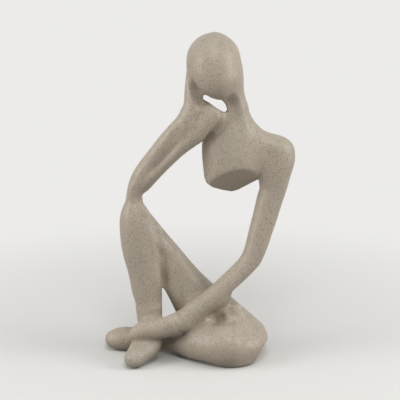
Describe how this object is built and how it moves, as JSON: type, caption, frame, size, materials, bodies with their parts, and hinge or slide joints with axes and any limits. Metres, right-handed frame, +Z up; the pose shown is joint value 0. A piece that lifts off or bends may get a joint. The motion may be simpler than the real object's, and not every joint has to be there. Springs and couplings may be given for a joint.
{
  "type": "thinker statue",
  "caption": "Seated abstract thinking figure without a face, cast in sandstone-coloured resin, with slender limbs round open windows; shelf ornament.",
  "frame": {"origin": "on the shelf, under the middle of the figure's bounding box", "axes": "+Z up; the figure faces -Y and its left arm, the one that hangs straight, is on +X"},
  "size_m": [0.1513, 0.068, 0.26],
  "materials": {
    "sandstone_resin": "matte, fine speckled sandstone grain",
    "steel": "drawn wire and rod, sealed inside the castings",
    "felt": "dark pressed felt"
  },
  "bodies": {
    "root": {"head": "sandstone_resin", "torso": "sandstone_resin", "left_arm": "sandstone_resin", "right_arm": "sandstone_resin", "raised_leg": "sandstone_resin", "folded_leg": "sandstone_resin", "left_arm_wire": "steel", "arm_and_shin_wire": "steel", "thigh_wire": "steel", "neck_dowel": "steel", "right_shoulder_dowel": "steel", "hip_dowels": "steel", "ankle_dowel": "steel", "front_foot_pad": "felt", "back_foot_pad": "felt", "knee_pad": "felt", "seat_pad": "felt"}
  },
  "joints": []
}
